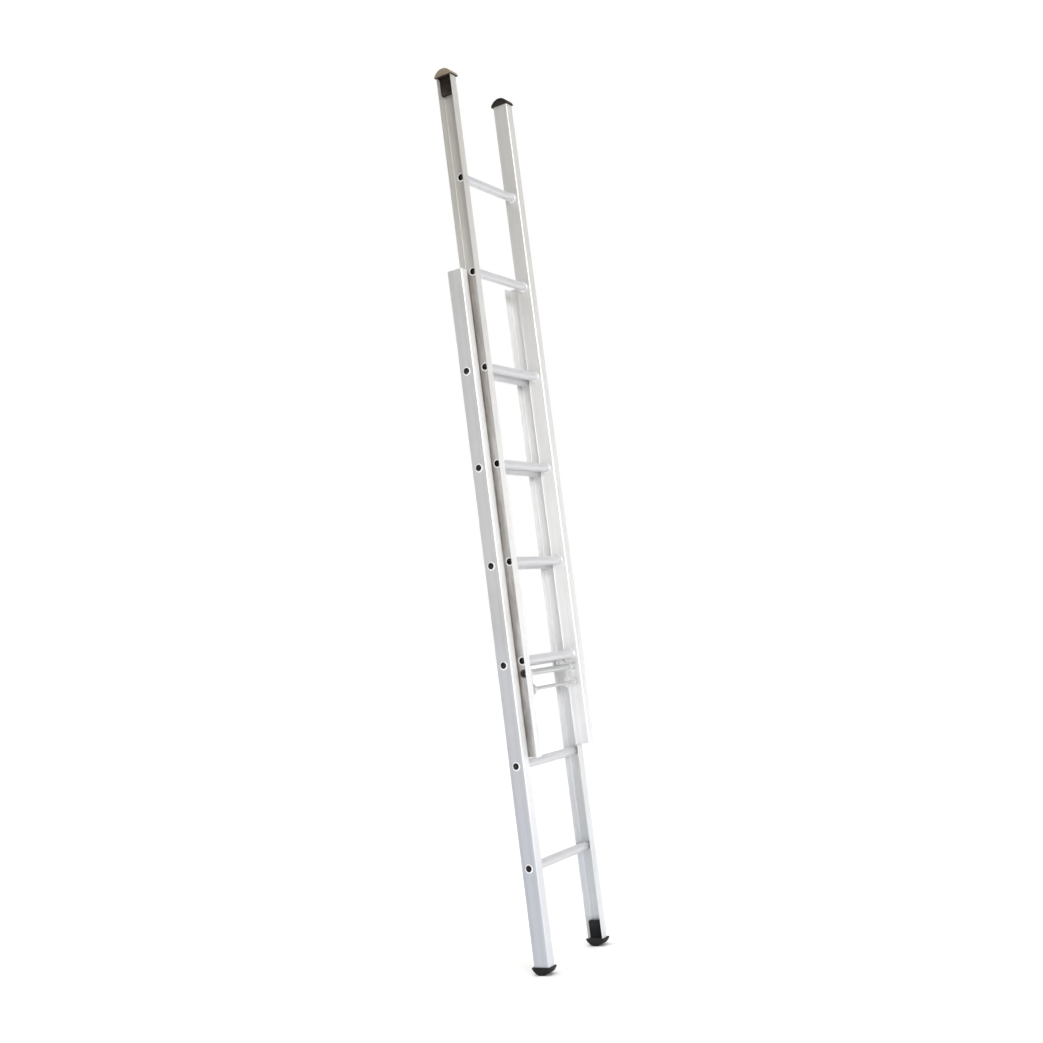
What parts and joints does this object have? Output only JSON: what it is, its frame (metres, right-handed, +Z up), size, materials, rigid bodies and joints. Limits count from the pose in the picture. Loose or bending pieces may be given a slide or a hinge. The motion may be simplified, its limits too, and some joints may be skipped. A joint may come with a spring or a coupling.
{
  "type": "extension ladder",
  "caption": "Two-section aluminium extension ladder with round ribbed rungs, interlocking channel stiles, a hook lock on a tie rod and arched rubber end plugs.",
  "frame": {"origin": "on the ground, midway between the two feet across and midway through the depth of the two sections", "axes": "+Z up along the stiles, the way the fly section slides; +X across the ladder along the rungs; +Y from the fly section in front to the base section behind"},
  "size_m": [0.373, 0.109, 2.757],
  "materials": {
    "stile": "satin mill finish with fine lengthwise extrusion lines",
    "rung": "satin, ribbed lengthwise, brighter on the flared lips",
    "end_rubber": "matte moulded rubber",
    "cap_tan": "dusty, sun-faded moulded rubber",
    "bush_nylon": "matte moulded nylon",
    "hook_cast": "fine cast skin",
    "zinc_steel": "zinc-plated, lightly drawn"
  },
  "bodies": {
    "base": {"base_stile_left": "stile", "base_stile_right": "stile", "base_rung_1": "rung", "base_rung_2": "rung", "base_rung_3": "rung", "base_rung_4": "rung", "base_rung_5": "rung", "base_rung_6": "rung", "foot_left": "end_rubber", "foot_right": "end_rubber"},
    "fly": {"fly_stile_left": "stile", "fly_stile_right": "stile", "fly_rung_1": "rung", "fly_rung_2": "rung", "fly_rung_3": "rung", "fly_rung_4": "rung", "fly_rung_5": "rung", "fly_rung_6": "rung", "cap_left": "cap_tan", "cap_right": "end_rubber", "bar_bush_left": "bush_nylon", "bar_bush_right": "bush_nylon"},
    "lock": {"lock_bar": "zinc_steel", "bar_sleeve_left": "zinc_steel", "bar_sleeve_right": "zinc_steel", "hook_left": "hook_cast", "hook_right": "hook_cast", "tie_rod": "zinc_steel", "rod_sleeve_left": "zinc_steel", "rod_sleeve_right": "zinc_steel"}
  },
  "joints": [
    {"name": "fly_slide", "type": "slide", "parent": "base", "child": "fly", "axis": [0, 0, 1], "range_m": [0, 0.6]},
    {"name": "hook_swing", "type": "hinge", "parent": "fly", "child": "lock", "pos_m": [0, -0.0235, 0.8775], "axis": [1, 0, 0], "range_deg": [0, 16]}
  ]
}
